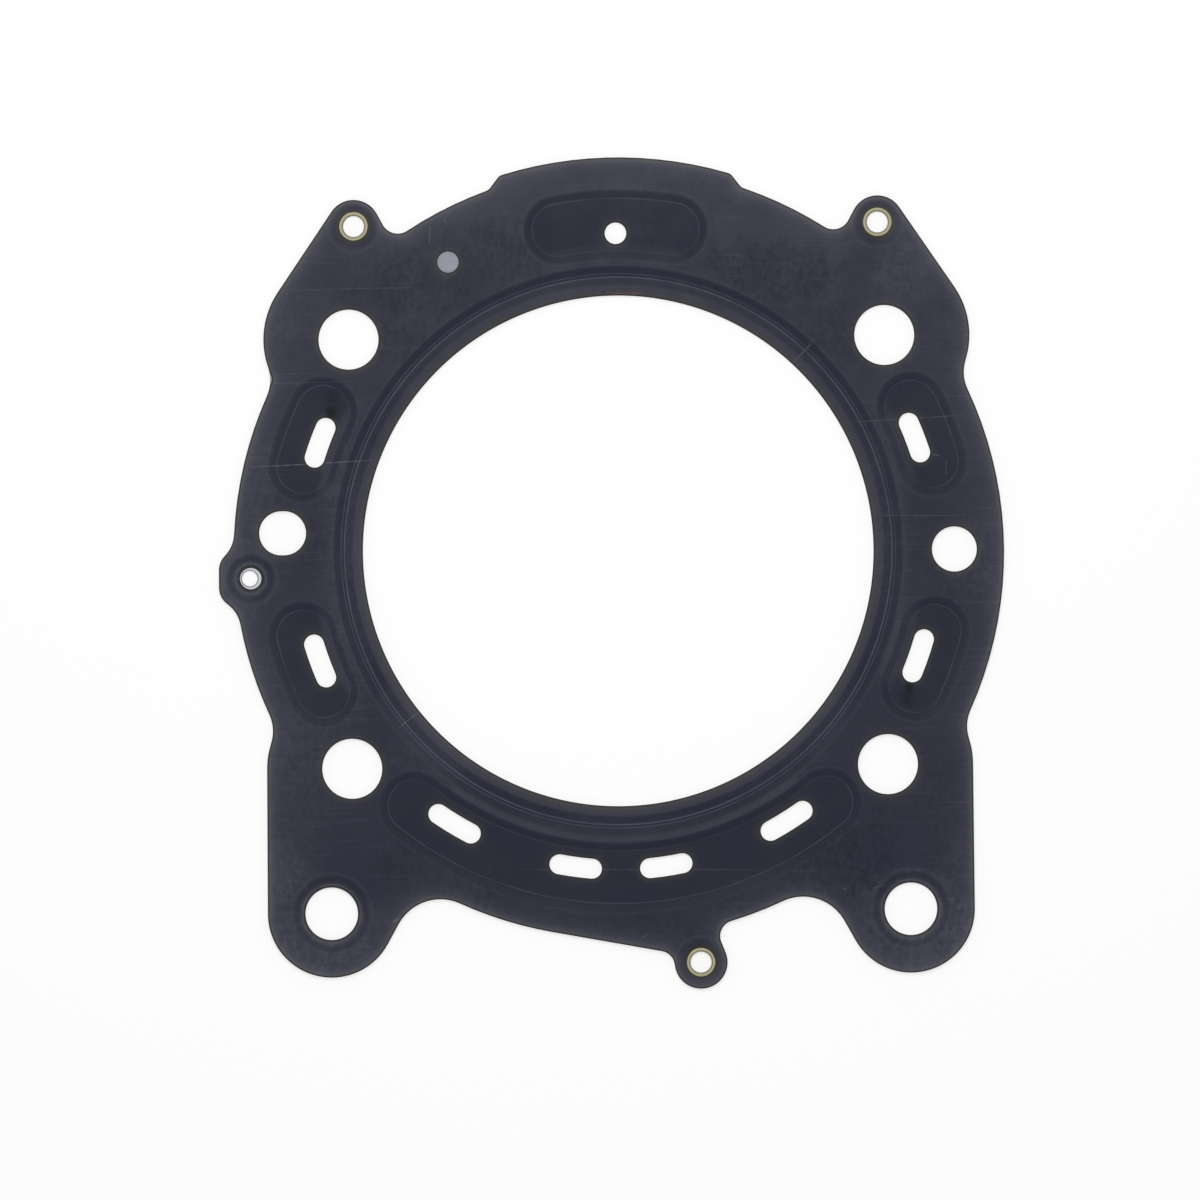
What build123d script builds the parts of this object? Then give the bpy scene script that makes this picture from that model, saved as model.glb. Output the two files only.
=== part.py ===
from build123d import *
import math
import os

# Multi-layer steel head gasket for one cylinder, in millimetres. Two embossed, rubber-coated sheets lie face to
# face with a plain steel distance sheet between them, and three tubular eyelets hold the stack together. The
# origin is on the bore axis in the plane that the gasket rests on, and +Z points up, out of the top sheet.

# Layers
sheet_thickness = 0.25
core_thickness = 0.30
bead_height = 0.20
bead_slope_width = 1.6

# Cylinder bore and the full bead round it
bore_radius = 51.05
bore_lip_width = 1.95
bore_crest_width = 0.9

# The outline and every hole but the bore are punched about a centre a little below the bore axis,
# and their places are taken from that centre
pattern_y = -0.2

# Cylinder studs: the distance of their centres from the foot of the bore bead, and their angle above or below X
stud_offset = 11.515
stud_angle = 38.7
stud_hole_radius = 6.0
stud_rim_width = 11.0

# Bolts below the cylinder, each placed from the lower stud on its side
bolt_offset_x = 4.35
bolt_drop_height = 28.95
bolt_hole_radius = 5.25
bolt_lip_width = 0.65
bolt_rim_width = 7.5
bolt_flank_angle = 61.0

# Dowel holes and the window in the top sheet, on one circle beyond the bead. The right dowel hole lies on the X
# axis, the left one is oblong and turned up from it, and the window is turned left from straight up.
dowel_offset = 10.1
left_dowel_turn = 3.67
left_dowel_radius = 4.4
left_dowel_play_x = 0.6
right_dowel_radius = 4.5
window_turn = 29.93
small_hole_radius = 2.15

# Oil orifice at the left: a fine hole in the distance sheet behind a small hole in each coated sheet
orifice_inset = 3.35
orifice_turn = 3.66
orifice_radius = 1.55
orifice_shift_x = -0.2
orifice_lip_width = 0.95

# Sunk floors round the coolant holes, with the turns from the studs to the middles of the side floors and to the
# ends of the bottom one
floor_gap_width = 1.4
floor_width = 10.4
top_floor_half_sweep = 10.15
side_floor_half_sweep = 5.2
upper_floor_turn = 18.1
lower_floor_turn = 18.85
bottom_floor_turn = 12.1

# Coolant slots in those floors, the bottom four turned from straight down, and the vent hole in the top floor
slot_inset = 1.75
slot_width = 4.0
upper_slot_half_sweep = 2.85
lower_slot_turn = 19.1
lower_slot_half_sweep = 3.15
outer_slot_turn = 31.55
outer_slot_half_sweep = 3.4
inner_slot_turn = 8.2
inner_slot_half_sweep = 2.95
vent_inset = 1.6

# Outline; a fillet takes up no more than a share of the edges beside it
body_rim_width = 4.9
body_x = 0.12
body_y = -0.15
crown_height = 2.0
crown_width = 43.75
crown_side_angle = 52.5
crown_fillet = 1.8
ear_rim_width = 2.4
ear_fillet = 3.4
waist_fillet = 8.0
valley_fillet = 9.5
side_ear_height = 2.85
side_ear_top_y = -1.5
side_ear_bottom_y = -8.4
side_ear_top_angle = 49.0
side_ear_bottom_angle = 40.0
side_ear_corner_fillet = 4.0
side_ear_root_fillet = 6.5
tail_start_turn = 10.4
tail_neck_angle = 112.0
tail_fillet = 3.1
fillet_share = 0.9

# Bite out of the edge of the top sheet at the upper left waist, with its place as a share of the way down
nick_radius = 1.9
nick_depth = 0.38
nick_place = 0.4

# Eyelets, whose centres stand out from the body: one turned up from each upper stud, and one in the tail
ear_reach = 6.85
ear_turn = 12.67
tail_reach = 6.67
tail_turn = 10.92
eyelet_bore_radius = 2.1
eyelet_wall = 0.2
eyelet_flange_width = 0.6
eyelet_mouth_chamfer = 0.12
eyelet_rim_chamfer = 0.07

# Clearances
eyelet_clearance = 0.05
flange_clearance = 0.1
core_setback = 0.1

# Heights of the faces in the stack, from the underside up
core_bottom = sheet_thickness + bead_height
core_top = core_bottom + core_thickness
top_sheet_bottom = core_top + bead_height
top_sheet_top = top_sheet_bottom + sheet_thickness
mid_plane = Plane.XY.offset(top_sheet_top / 2)
punch_plane = Plane(origin=(0, pattern_y, 0))

# Radii from the bore outwards
crest_radius = bore_radius + bore_lip_width + bead_slope_width + bore_crest_width / 2
bead_foot_radius = crest_radius + bore_crest_width / 2 + bead_slope_width
foot_width = floor_width + 2 * bead_slope_width
floor_pitch_radius = bead_foot_radius + floor_gap_width + foot_width / 2
slot_pitch_radius = floor_pitch_radius - slot_inset
dowel_pitch_radius = bead_foot_radius + dowel_offset
body_radius = floor_pitch_radius + foot_width / 2 + body_rim_width
crown_radius = body_radius + crown_height
stud_lobe_radius = stud_hole_radius + stud_rim_width
bolt_lobe_radius = bolt_hole_radius + bolt_rim_width
eyelet_barrel_radius = eyelet_bore_radius + eyelet_wall
eyelet_hole_radius = eyelet_barrel_radius + eyelet_clearance
eyelet_flange_radius = eyelet_barrel_radius + eyelet_flange_width
ear_radius = eyelet_flange_radius + ear_rim_width
inner_reach = body_radius / 2


def along(start, angle, distance):
    """The point at this distance from another, in the direction of an angle in degrees."""
    turn = math.radians(angle)
    return (start[0] + distance * math.cos(turn), start[1] + distance * math.sin(turn))


# Places
centre = (0, 0)
stud = along(centre, stud_angle, bead_foot_radius + stud_offset)
low_stud = along(centre, -stud_angle, bead_foot_radius + stud_offset)
studs = (stud, low_stud, (-stud[0], stud[1]), (-low_stud[0], low_stud[1]))
bolt = (low_stud[0] + bolt_offset_x, low_stud[1] - bolt_drop_height)
bolts = (bolt, (-bolt[0], bolt[1]))
left_dowel = along(centre, 180 - left_dowel_turn, dowel_pitch_radius)
right_dowel = (dowel_pitch_radius, 0)
window = along(centre, 90 + window_turn, dowel_pitch_radius)
vent = (0, floor_pitch_radius - vent_inset)
orifice = along(centre, 180 + orifice_turn, body_radius - orifice_inset)
ear_eyelet = along(centre, stud_angle + ear_turn, body_radius + ear_reach)
tail_eyelet = along(centre, -90 + tail_turn, body_radius + tail_reach)
eyelets = {
    "eyelet_top_left": (-ear_eyelet[0], ear_eyelet[1]),
    "eyelet_top_right": ear_eyelet,
    "eyelet_bottom": tail_eyelet,
}

# Coolant floors and slots, each as the angle of its middle and half the sweep between the centres of its ends
upper_floor_angle = stud_angle - upper_floor_turn
lower_floor_angle = stud_angle - lower_floor_turn
lower_slot_angle = stud_angle - lower_slot_turn
coolant_floors = (
    (90, top_floor_half_sweep),
    (upper_floor_angle, side_floor_half_sweep),
    (180 - upper_floor_angle, side_floor_half_sweep),
    (180 + lower_floor_angle, side_floor_half_sweep),
    (-lower_floor_angle, side_floor_half_sweep),
    (-90, 90 - stud_angle - bottom_floor_turn),
)
coolant_slots = (
    (upper_floor_angle, upper_slot_half_sweep),
    (180 - upper_floor_angle, upper_slot_half_sweep),
    (180 + lower_slot_angle, lower_slot_half_sweep),
    (-lower_slot_angle, lower_slot_half_sweep),
    (-90 - outer_slot_turn, outer_slot_half_sweep),
    (-90 + outer_slot_turn, outer_slot_half_sweep),
    (-90 - inner_slot_turn, inner_slot_half_sweep),
    (-90 + inner_slot_turn, inner_slot_half_sweep),
)


def curved_slot(pitch_radius, middle_angle, half_sweep, width):
    """Adds a slot that follows an arc about the origin to the open sketch."""
    spine = CenterArc((0, 0), pitch_radius, middle_angle - half_sweep, 2 * half_sweep, mode=Mode.PRIVATE)
    SlotArc(spine, width)


def radius_of(edge):
    """The radius of an arc, rounded to be compared, or 0 for a straight edge."""
    return round(edge.radius, 3) if edge.geom_type == GeomType.CIRCLE else 0


def corners(first_radius, second_radius=0):
    """The corners of the outline where edges of two radii meet; a straight edge has radius 0."""
    wanted = {round(first_radius, 3), round(second_radius, 3)}
    found = ShapeList()
    for corner in outline.vertices():
        meeting = {radius_of(edge) for edge in outline.edges() if corner in edge.vertices()}
        if meeting == wanted:
            found.append(corner)
    return found


def round_corner(place, radius, arc_radius):
    """Rounds the corner nearest a place between an arc of this radius and a straight edge of the outline."""
    corner = corners(arc_radius).sort_by_distance(place)[0]
    beside = [edge for edge in outline.edges() if corner in edge.vertices()]
    away = [edge % 0 if edge @ 0 == corner.center() else -(edge % 1) for edge in beside]
    turn = math.radians(180 - away[0].get_angle(away[1]))
    room = fillet_share * min(edge.length for edge in beside)
    fillet(corner, min(radius, room / math.tan(turn / 2)))


# The outline is built of the body disc, its lobes and its ears, and then rounded where they meet
with BuildSketch() as crown:
    crown_side = (crown_width / 2, body_radius)
    crown_apex = (0, body_radius + crown_side[0] * math.tan(math.radians(crown_side_angle)))
    crown_foot = along(crown_side, -crown_side_angle, crown_side[0])
    with BuildLine():
        Polyline(crown_foot, crown_apex, (-crown_foot[0], crown_foot[1]), close=True)
    make_face()
    with Locations((0, body_y)):
        Circle(crown_radius, mode=Mode.INTERSECT)

with BuildSketch() as shoulder:
    with Locations(stud):
        Circle(stud_lobe_radius)
    with Locations(ear_eyelet):
        Circle(ear_radius)
    make_hull()

with BuildSketch() as leg:
    with Locations(low_stud):
        Circle(stud_lobe_radius)
    with Locations(bolt):
        Circle(bolt_lobe_radius)
    make_hull()
    flank_start = along(bolt, 270 - bolt_flank_angle, bolt_lobe_radius)
    flank_end = along(flank_start, 180 - bolt_flank_angle, inner_reach)
    with BuildLine():
        Polyline(bolt, flank_start, flank_end, low_stud, close=True)
    make_face()

with BuildSketch() as side_ear:
    ear_top = (-body_radius - side_ear_height, side_ear_top_y)
    ear_bottom = (-body_radius - side_ear_height, side_ear_bottom_y)
    ear_top_root = along(ear_top, side_ear_top_angle, inner_reach)
    ear_bottom_root = along(ear_bottom, -side_ear_bottom_angle, inner_reach)
    with BuildLine():
        Polyline(ear_top, ear_top_root, ear_bottom_root, ear_bottom, close=True)
    make_face()
    fillet(side_ear.vertices().group_by(Axis.X)[0], side_ear_corner_fillet)

with BuildSketch() as tail:
    tail_start = along((body_x, body_y), -90 - tail_start_turn, body_radius)
    tail_tip = along(tail_start, -tail_start_turn, tail_eyelet[0] - tail_start[0])
    neck_start = along(tail_eyelet, tail_neck_angle - 90, ear_radius)
    neck_end = along(neck_start, tail_neck_angle, inner_reach)
    with BuildLine():
        Polyline(tail_start, tail_tip, tail_eyelet, neck_start, neck_end, close=True)
    make_face()
    with Locations(tail_eyelet):
        Circle(ear_radius)

with BuildSketch() as outline:
    with Locations((body_x, body_y)):
        Circle(body_radius)
    add(crown.sketch)
    add(side_ear.sketch)
    add(tail.sketch)
    for half in (shoulder.sketch, leg.sketch):
        add(half)
        mirror(half, about=Plane.YZ)
    fillet(corners(crown_radius), crown_fillet)
    fillet(corners(body_radius, stud_lobe_radius), waist_fillet)
    for side in (-1, 1):
        round_corner((side * crown_side[0], crown_side[1]), crown_fillet, body_radius)
        round_corner((side * ear_eyelet[0], ear_eyelet[1]), ear_fillet, body_radius)
        round_corner((side * flank_start[0], flank_start[1]), valley_fillet, body_radius)
    round_corner(ear_top, side_ear_root_fillet, body_radius)
    round_corner(ear_bottom, side_ear_root_fillet, body_radius)
    round_corner(neck_start, tail_fillet, body_radius)
    round_corner(tail_start, tail_fillet, ear_radius)

waists = [edge for edge in outline.edges().filter_by(GeomType.CIRCLE) if radius_of(edge) == waist_fillet]
upper_left_waist = ShapeList(waists).sort_by_distance((-stud[0], stud[1]))[0]
nick_foot = upper_left_waist @ nick_place
nick = nick_foot + (upper_left_waist.arc_center - nick_foot).normalized() * (nick_radius - nick_depth)


def through_holes(growth):
    """The bore and the bolt, oil and coolant holes, each wider all round by the growth."""
    with BuildSketch() as holes:
        with Locations((0, -pattern_y)):
            Circle(bore_radius + growth)
        with Locations(*studs):
            Circle(stud_hole_radius + growth)
        with Locations(*bolts):
            Circle(bolt_hole_radius + growth)
        with Locations(left_dowel):
            SlotCenterToCenter(left_dowel_play_x, 2 * (left_dowel_radius + growth))
        with Locations(right_dowel):
            Circle(right_dowel_radius + growth)
        with Locations(vent):
            Circle(small_hole_radius + growth)
        for middle_angle, half_sweep in coolant_slots:
            curved_slot(slot_pitch_radius, middle_angle, half_sweep, slot_width + 2 * growth)
    return holes.sketch


def press_floors(floor_height, change):
    """Adds or removes the sunk floors round the coolant holes, from this height up to their feet."""
    for middle_angle, half_sweep in coolant_floors:
        with BuildSketch(Plane.XY.offset(floor_height)) as floor:
            curved_slot(floor_pitch_radius, middle_angle, half_sweep, floor_width)
        with BuildSketch(Plane.XY.offset(floor_height + bead_height)) as foot:
            curved_slot(floor_pitch_radius, middle_angle, half_sweep, foot_width)
        loft((floor.sketch, foot.sketch), ruled=True, mode=change)


def press_bore_bead(crest_height, change):
    """Adds or removes the full bead round the bore, whose crest is at this height."""
    with BuildSketch(Plane.XZ) as section:
        with Locations((crest_radius, crest_height)):
            Trapezoid(
                bore_crest_width + 2 * bead_slope_width,
                bead_height,
                math.degrees(math.atan2(bead_height, bead_slope_width)),
                rotation=180,
                align=(Align.CENTER, Align.MAX),
            )
    revolve(section.sketch, axis=Axis.Z, mode=change)


def press_dimples(floor_height, change):
    """Adds or removes the dimples round the bolt holes, the oil orifice and the eyelets."""
    for floor_radius, places in (
        (bolt_hole_radius + bolt_lip_width, bolts),
        (small_hole_radius + orifice_lip_width, (orifice,)),
        (eyelet_flange_radius + flange_clearance, eyelets.values()),
    ):
        with Locations(*[(x, y + pattern_y, floor_height) for x, y in places]):
            Cone(
                floor_radius,
                floor_radius + bead_slope_width,
                bead_height,
                align=(Align.CENTER, Align.CENTER, Align.MIN),
                mode=change,
            )


# The pressing that both coated sheets start from, as it lies on top of the stack
with BuildPart() as pressing:
    with BuildSketch(punch_plane.offset(top_sheet_bottom)):
        add(outline.sketch)
    extrude(amount=sheet_thickness)
    for face_height, change in ((core_top, Mode.ADD), (core_top + sheet_thickness, Mode.SUBTRACT)):
        press_floors(face_height, change)
        press_bore_bead(face_height, change)
        press_dimples(face_height, change)
    with BuildSketch(punch_plane.offset(core_top)):
        add(through_holes(0))
        with Locations(*eyelets.values()):
            Circle(eyelet_hole_radius)
        with Locations(orifice):
            Circle(small_hole_radius)
    extrude(amount=top_sheet_top - core_top, mode=Mode.SUBTRACT)

with BuildPart() as top_sheet:
    add(pressing.part)
    with BuildSketch(punch_plane.offset(core_top)):
        with Locations(window):
            Circle(small_hole_radius)
        with Locations(nick):
            Circle(nick_radius)
    extrude(amount=top_sheet_top - core_top, mode=Mode.SUBTRACT)

with BuildPart() as bottom_sheet:
    mirror(pressing.part, about=mid_plane)

with BuildPart() as core_sheet:
    with BuildSketch(punch_plane.offset(core_bottom)):
        add(outline.sketch)
        add(through_holes(core_setback), mode=Mode.SUBTRACT)
        with Locations(*eyelets.values()):
            Circle(eyelet_hole_radius, mode=Mode.SUBTRACT)
        with Locations((orifice[0] + orifice_shift_x, orifice[1])):
            Circle(orifice_radius, mode=Mode.SUBTRACT)
    extrude(amount=core_thickness)

os.makedirs("parts", exist_ok=True)
for name, layer in (("top_sheet", top_sheet), ("core_sheet", core_sheet), ("bottom_sheet", bottom_sheet)):
    layer.part.label = name
    export_step(layer.part, f"parts/{name}.step")

# Each eyelet is a tube through the stack, rolled over into a flange on the dimple at each end
for name, (eyelet_place_x, eyelet_place_y) in eyelets.items():
    centre = (eyelet_place_x, eyelet_place_y + pattern_y, 0)
    with BuildPart() as eyelet:
        with BuildSketch(Plane(centre, x_dir=(1, 0, 0), z_dir=(0, -1, 0))) as section:
            with BuildLine():
                Polyline(
                    (eyelet_bore_radius, 0),
                    (eyelet_flange_radius, 0),
                    (eyelet_flange_radius, bead_height),
                    (eyelet_barrel_radius, bead_height),
                    (eyelet_barrel_radius, top_sheet_top - bead_height),
                    (eyelet_flange_radius, top_sheet_top - bead_height),
                    (eyelet_flange_radius, top_sheet_top),
                    (eyelet_bore_radius, top_sheet_top),
                    close=True,
                )
            make_face()
            chamfer(section.vertices().group_by(Axis.X)[0], eyelet_mouth_chamfer)
            flange_corners = section.vertices().group_by(Axis.X)[-1].sort_by(Axis.Y)
            chamfer((flange_corners[0], flange_corners[-1]), eyelet_rim_chamfer)
        revolve(axis=Axis(centre, (0, 0, 1)))
    eyelet.part.label = name
    export_step(eyelet.part, f"parts/{name}.step")
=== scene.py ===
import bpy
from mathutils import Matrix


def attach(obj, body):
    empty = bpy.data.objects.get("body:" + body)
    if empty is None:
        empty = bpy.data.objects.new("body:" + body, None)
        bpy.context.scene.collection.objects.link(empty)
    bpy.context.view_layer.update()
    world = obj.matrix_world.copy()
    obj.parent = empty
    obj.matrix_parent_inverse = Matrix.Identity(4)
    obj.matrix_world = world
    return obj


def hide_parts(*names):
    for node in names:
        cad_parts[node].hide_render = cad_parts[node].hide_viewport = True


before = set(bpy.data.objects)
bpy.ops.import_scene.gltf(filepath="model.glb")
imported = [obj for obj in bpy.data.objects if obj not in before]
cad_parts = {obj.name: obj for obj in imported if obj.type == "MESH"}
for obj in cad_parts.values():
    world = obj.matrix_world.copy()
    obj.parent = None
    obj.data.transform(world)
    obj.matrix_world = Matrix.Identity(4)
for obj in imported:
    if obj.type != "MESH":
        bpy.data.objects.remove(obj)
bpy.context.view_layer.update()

import math
from types import SimpleNamespace

import bmesh
import bpy
import numpy as np
from mathutils import Vector, kdtree
from mathutils.geometry import delaunay_2d_cdt

# ---------------------------------------------------------------- sizes, in metres
MM = 0.001
stack_height = 1.2 * MM
sheet_thickness = 0.25 * MM
bead_height = 0.2 * MM
slope_width = 1.6 * MM
edge_roll = 0.03 * MM
roll_width = 0.4 * MM

crest_radius = 55.05 * MM
crest_width = 0.9 * MM
floor_pitch_radius = 65.3 * MM
floor_width = 10.4 * MM

# Middle angle and half sweep, in degrees, of each sunk coolant floor
coolant_floors = ((90, 10.15), (20.6, 5.2), (159.4, 5.2), (199.85, 5.2), (-19.85, 5.2), (-90, 39.2))

# Places in plan and the radius of the flat floor of each round dimple, in millimetres
bolt_places = ((-57.899, -72.051), (57.899, -72.051))
orifice_place = (-73.5, -4.901)
eyelet_places = {
    "eyelet_top_left": (-52.347, 65.303),
    "eyelet_top_right": (52.347, 65.303),
    "eyelet_bottom": (15.85, -82.355),
}
dimples = [(place, 5.9) for place in bolt_places]
dimples += [(orifice_place, 3.1)]
dimples += [(place, 3.0) for place in eyelet_places.values()]

# Eyelet section
eyelet_bore = 2.1 * MM
eyelet_barrel = 2.3 * MM
eyelet_flange = 2.88 * MM
eyelet_lip = 0.2 * MM
eyelet_mouth_round = 0.16 * MM
eyelet_rim_round = 0.08 * MM
eyelet_unevenness = 0.12 * MM
eyelet_steps = 128
quarter_steps = 6

# Wave of a flange: its scale, and the level below which the flange is drawn in
wave_scale, full_level = 1.3, 0.62

# Reading the cut edges of a solid: welding gap, least lean of a flat face and greatest of a wall
solid_weld = 1e-6
flat_lean, wall_lean = 0.5, 0.3

# Rounding a loop: spread of radii of a circle, fewest points of one, first steps along a loop,
# and the least share of one bend in the next along an arc
circle_spread = 0.03 * MM
circle_points = 72
first_step = 2 * MM
arc_share = 0.1

# Spacing of the points of a blank along its rims, its beads and floors, the ends of floors and the dimples
rim_spacing = 0.8 * MM
press_spacing = 0.85 * MM
end_spacing = 0.7 * MM
dimple_spacing = 0.55 * MM
spine_spacing = 0.25 * MM

# Lines of points beside the rims, and at these reaches from the foot of each slope
rim_depths = (0.16 * MM, 0.42 * MM)
line_reaches = np.array((-0.5, -0.15, 0.1, 0.35, 0.65, 0.95, 1.25, 1.5, 1.8, 2.4)) * MM
dimple_margin = 0.5 * MM

# Sweeps in degrees that end a ring of points a step short of its start
crest_sweep, dimple_sweep = 359.1, 354

# Half width and pitches of the grid of points on the flats, in millimetres
grid_reach, row_pitch, column_pitch = 90, 1.0, 1.15

# Least room between points: beside the rims, along the press lines and on the flats
rim_room, press_room, grid_room = 0.12 * MM, 0.22 * MM, 0.6 * MM

# Points that are tried at once, the gap in millimetres within which two are one, and the weld of a sheet
points_at_once = 4000
same_point = 1e-5
sheet_weld = 1e-7


# ---------------------------------------------------------------- helpers for objects and node trees
def new_object(name, data):
    """An object with this data, placed in the scene."""
    made = bpy.data.objects.new(name, data)
    bpy.context.scene.collection.objects.link(made)
    return made


def new_mesh(name, points, edges=(), faces=()):
    """A mesh made from its points, edges and faces."""
    made = bpy.data.meshes.new(name)
    made.from_pydata(points, edges, faces)
    return made


def plug(tree, value, socket):
    """Joins a socket to another, or sets it to a plain value."""
    if isinstance(value, bpy.types.NodeSocket):
        tree.links.new(value, socket)
    else:
        socket.default_value = value


def set_inputs(tree, node, values):
    """Joins or sets inputs of a node, by their names or numbers."""
    for key, value in values.items():
        plug(tree, value, node.inputs[key])


def part(tree, kind, inputs=None, **settings):
    """A new node with its settings and inputs."""
    made = tree.nodes.new(kind)
    for name, value in settings.items():
        setattr(made, name, value)
    set_inputs(tree, made, inputs or {})
    return made


def step(tree, kind, inputs=None, **settings):
    """The first output of a new node."""
    return part(tree, kind, inputs, **settings).outputs[0]


def maths(tree, operation, *values):
    """The result of a Math node."""
    return step(tree, "ShaderNodeMath", dict(enumerate(values)), operation=operation)


def times(tree, first, second):
    """One value times another, or a mask at part of its strength."""
    return maths(tree, "MULTIPLY", first, second)


def plus(tree, first, second):
    """One value plus another."""
    return maths(tree, "ADD", first, second)


def minus(tree, first, second):
    """One value less another."""
    return maths(tree, "SUBTRACT", first, second)


def shift(tree, value, gain, base):
    """A value times a gain, plus a base."""
    return plus(tree, times(tree, value, gain), base)


def most(tree, *values):
    """The greatest of several values."""
    result, *others = values
    for other in others:
        result = maths(tree, "MAXIMUM", result, other)
    return result


def vector_maths(tree, operation, *values, output=0):
    """The result of a Vector Math node; output 1 is its plain value."""
    return part(tree, "ShaderNodeVectorMath", dict(enumerate(values)), operation=operation).outputs[output]


def scaled(tree, vector, scale):
    """A vector at another length."""
    return step(tree, "ShaderNodeVectorMath", {0: vector, "Scale": scale}, operation="SCALE")


def size_of(tree, vector):
    """The length of a vector."""
    return vector_maths(tree, "LENGTH", vector, output=1)


def apart(tree, first, second):
    """The distance between two places."""
    return size_of(tree, vector_maths(tree, "SUBTRACT", first, second))


def in_plan(tree, place):
    """A place with its height left out."""
    return vector_maths(tree, "MULTIPLY", place, (1, 1, 0))


def ramp(tree, value, start, end, low=0.0, high=1.0, shape="SMOOTHSTEP"):
    """Low before the start, high past the end, and a smooth step between them."""
    levels = dict(enumerate((value, start, end, low, high)))
    return step(tree, "ShaderNodeMapRange", levels, interpolation_type=shape)


def fall(tree, value, start, end, high=1.0):
    """High before the start, 0 past the end, and a smooth step between them."""
    return ramp(tree, value, start, end, high, 0.0)


def cloudy(tree, place, scale, detail=2.0, seed=None):
    """A cloudy value about 0.5; a seed picks one of many."""
    inputs = {"Vector": place, "Scale": scale, "Detail": detail}
    if seed is None:
        return step(tree, "ShaderNodeTexNoise", inputs)
    return step(tree, "ShaderNodeTexNoise", {**inputs, "W": seed}, noise_dimensions="4D")


def new_group(kind, name, inputs, outputs):
    """An empty node group with named sockets: its tree, its inputs by name and its output node."""
    tree = bpy.data.node_groups.new(name, kind)
    for label, socket_type, value in inputs:
        socket = tree.interface.new_socket(label, in_out="INPUT", socket_type=socket_type)
        if value is not None:
            socket.default_value = value
    for label, socket_type in outputs:
        tree.interface.new_socket(label, in_out="OUTPUT", socket_type=socket_type)
    return tree, tree.nodes.new("NodeGroupInput").outputs, tree.nodes.new("NodeGroupOutput")


def stored(tree, geometry, name, value, domain="POINT"):
    """The geometry with a named value kept on it."""
    inputs = {"Geometry": geometry, "Name": name, "Value": value}
    return step(tree, "GeometryNodeStoreNamedAttribute", inputs, data_type="FLOAT", domain=domain)


def object_shape(tree, holder):
    """The geometry of an object that the tree is given."""
    return part(tree, "GeometryNodeObjectInfo", {"Object": holder}).outputs["Geometry"]


def end_tree(tree, geometry, finish, result):
    """Ends a tree with real geometry that carries its finish."""
    real = step(tree, "GeometryNodeRealizeInstances", {0: geometry})
    dressed = step(tree, "GeometryNodeSetMaterial", {"Geometry": real, "Material": finish})
    tree.links.new(dressed, result.inputs[0])
    return tree


def bake_tree(name, mesh, tree, values):
    """Runs a Geometry Nodes tree on a mesh with these inputs and returns the result as a plain object."""
    holder = new_object(name + "_blank", mesh)
    modifier = holder.modifiers.new("press", "NODES")
    modifier.node_group = tree
    for item in tree.interface.items_tree:
        if item.item_type == "SOCKET" and item.in_out == "INPUT" and item.name in values:
            modifier[item.identifier] = values[item.name]
    evaluated = holder.evaluated_get(bpy.context.evaluated_depsgraph_get())
    result = bpy.data.meshes.new_from_object(evaluated)
    bpy.data.objects.remove(holder)
    return new_object(name, result)


# ---------------------------------------------------------------- the blank of a sheet
def rim_loops(node_name):
    """The cut edges of a sheet as closed loops of points in plan, read from its solid."""
    merged = bmesh.new()
    merged.from_mesh(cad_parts[node_name].data)
    bmesh.ops.remove_doubles(merged, verts=merged.verts, dist=solid_weld)
    merged.normal_update()
    beside = {}
    for edge in merged.edges:
        lean = sorted(face.normal.z for face in edge.link_faces)
        if lean[-1] > flat_lean and abs(lean[0]) < wall_lean:
            first, second = edge.verts
            beside.setdefault(first, []).append(second)
            beside.setdefault(second, []).append(first)
    loops = []
    while beside:
        here = next(iter(beside))
        loop = []
        while here is not None:
            loop.append((here.co.x, here.co.y))
            onward = beside.pop(here)
            here = next((vert for vert in onward if vert in beside), None)
        loops.append(np.array(loop))
    merged.free()
    return loops


def round_out(loop, longest):
    """Rounds the chords of a loop out to the arcs that they stand for, with no chord longer than this."""
    centre = loop.mean(0)
    radii = np.hypot(*(loop - centre).T)
    if np.ptp(radii) < circle_spread:
        count = max(circle_points, math.ceil(2 * math.pi * radii.mean() / longest))
        turn = np.arange(count) * 2 * math.pi / count
        return centre + radii.max() * np.column_stack((np.cos(turn), np.sin(turn)))
    following = np.roll(loop, -1, 0)
    steps = np.maximum(1, np.ceil(np.hypot(*(following - loop).T) / first_step)).astype(int)
    loop = np.array([
        start + (end - start) * share / count
        for start, end, count in zip(loop, following, steps)
        for share in range(count)
    ])
    while True:
        onward = np.roll(loop, -1, 0) - loop
        length = np.hypot(*onward.T)
        if length.max() <= longest:
            return loop
        before = np.roll(onward, 1, 0)
        cross = before[:, 0] * onward[:, 1] - before[:, 1] * onward[:, 0]
        span = np.hypot(*(before + onward).T)
        bend = 2 * cross / (np.roll(length, 1) * length * span)
        next_bend = np.roll(bend, -1)
        alike = bend * next_bend > arc_share * np.maximum(bend**2, next_bend**2)
        curve = np.where(alike, (bend + next_bend) / 2, 0)
        outward = np.column_stack((onward[:, 1], -onward[:, 0])) / length[:, None]
        middle = loop + onward / 2 + outward * (curve * length**2 / 8)[:, None]
        points = []
        for start, half_way, size in zip(loop, middle, length):
            points.append(start)
            if size > longest:
                points.append(half_way)
        loop = np.array(points)


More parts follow.
